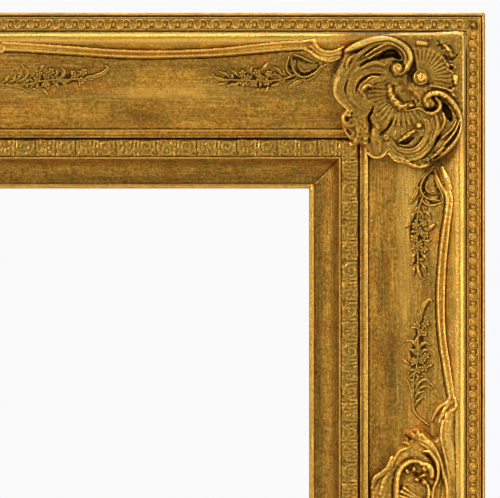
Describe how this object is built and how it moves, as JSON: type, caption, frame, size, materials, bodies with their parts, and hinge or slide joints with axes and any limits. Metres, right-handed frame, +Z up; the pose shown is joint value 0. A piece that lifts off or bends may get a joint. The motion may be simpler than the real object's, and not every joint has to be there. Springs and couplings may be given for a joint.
{
  "type": "ornate gilded picture frame",
  "caption": "Empty gilded picture frame with cast corner and centre ornaments, swept ribs and sprigs in a cove, a rabbet, turn buttons and D-ring hangers.",
  "frame": {"origin": "on the wall, behind the middle of the frame", "axes": "+X to the right as seen from the front, +Y into the wall, +Z up, so the carved front faces -Y"},
  "size_m": [0.72, 0.0613, 0.6184],
  "materials": {
    "gilded_timber": "aged gold leaf over timber, bare timber at the back",
    "gilded_strip": "aged gold leaf over composition",
    "gilded_casting": "aged gold leaf over composition",
    "zinc_steel": "zinc plated",
    "steel": "plain",
    "brass": "brass plated, dulled",
    "felt": "felt"
  },
  "bodies": {
    "frame": {"top_rail": "gilded_timber", "bottom_rail": "gilded_timber", "right_stile": "gilded_timber", "left_stile": "gilded_timber", "bead_strip_top": "gilded_strip", "bead_strip_bottom": "gilded_strip", "bead_strip_right": "gilded_strip", "bead_strip_left": "gilded_strip", "leaf_strip_top": "gilded_strip", "leaf_strip_bottom": "gilded_strip", "leaf_strip_right": "gilded_strip", "leaf_strip_left": "gilded_strip", "corner_ornament_upper_right": "gilded_casting", "corner_ornament_upper_left": "gilded_casting", "corner_ornament_lower_right": "gilded_casting", "corner_ornament_lower_left": "gilded_casting", "centre_ornament_top": "gilded_casting", "centre_ornament_bottom": "gilded_casting", "centre_ornament_right": "gilded_casting", "centre_ornament_left": "gilded_casting", "swept_rib_upper_right_across": "gilded_casting", "swept_rib_upper_right_upright": "gilded_casting", "swept_rib_upper_left_across": "gilded_casting", "swept_rib_upper_left_upright": "gilded_casting", "swept_rib_lower_right_across": "gilded_casting", "swept_rib_lower_right_upright": "gilded_casting", "swept_rib_lower_left_across": "gilded_casting", "swept_rib_lower_left_upright": "gilded_casting", "corner_sprig_upper_right_across": "gilded_casting", "corner_sprig_upper_right_upright": "gilded_casting", "corner_sprig_upper_left_across": "gilded_casting", "corner_sprig_upper_left_upright": "gilded_casting", "corner_sprig_lower_right_across": "gilded_casting", "corner_sprig_lower_right_upright": "gilded_casting", "corner_sprig_lower_left_across": "gilded_casting", "corner_sprig_lower_left_upright": "gilded_casting", "centre_sprig_upper_right_across": "gilded_casting", "centre_sprig_upper_right_upright": "gilded_casting", "centre_sprig_upper_left_across": "gilded_casting", "centre_sprig_upper_left_upright": "gilded_casting", "centre_sprig_lower_right_across": "gilded_casting", "centre_sprig_lower_right_upright": "gilded_casting", "centre_sprig_lower_left_across": "gilded_casting", "centre_sprig_lower_left_upright": "gilded_casting", "hanger_strap_right": "brass", "hanger_strap_left": "brass", "v_nails": "steel", "turn_button_screws": "steel", "strap_screws": "steel", "wall_pad_right": "felt", "wall_pad_left": "felt"},
    "ring_right": {"d_ring_right": "brass"},
    "ring_left": {"d_ring_left": "brass"},
    "button_top_right": {"turn_button_top_right": "zinc_steel"},
    "button_top_left": {"turn_button_top_left": "zinc_steel"},
    "button_bottom_right": {"turn_button_bottom_right": "zinc_steel"},
    "button_bottom_left": {"turn_button_bottom_left": "zinc_steel"}
  },
  "joints": [
    {"name": "ring_swing_right", "type": "hinge", "parent": "frame", "child": "ring_right", "pos_m": [0.308, -0.00345, 0.103], "axis": [1, 0, 0], "range_deg": [0, 180]},
    {"name": "ring_swing_left", "type": "hinge", "parent": "frame", "child": "ring_left", "pos_m": [-0.308, -0.00345, 0.103], "axis": [1, 0, 0], "range_deg": [0, 180]},
    {"name": "button_turn_top_right", "type": "hinge", "parent": "frame", "child": "button_top_right", "pos_m": [0.15, -0.0051, 0.2172], "axis": [0, 1, 0], "continuous": true},
    {"name": "button_turn_top_left", "type": "hinge", "parent": "frame", "child": "button_top_left", "pos_m": [-0.15, -0.0051, 0.2172], "axis": [0, 1, 0], "continuous": true},
    {"name": "button_turn_bottom_right", "type": "hinge", "parent": "frame", "child": "button_bottom_right", "pos_m": [0.15, -0.0051, -0.2172], "axis": [0, 1, 0], "continuous": true},
    {"name": "button_turn_bottom_left", "type": "hinge", "parent": "frame", "child": "button_bottom_left", "pos_m": [-0.15, -0.0051, -0.2172], "axis": [0, 1, 0], "continuous": true}
  ]
}
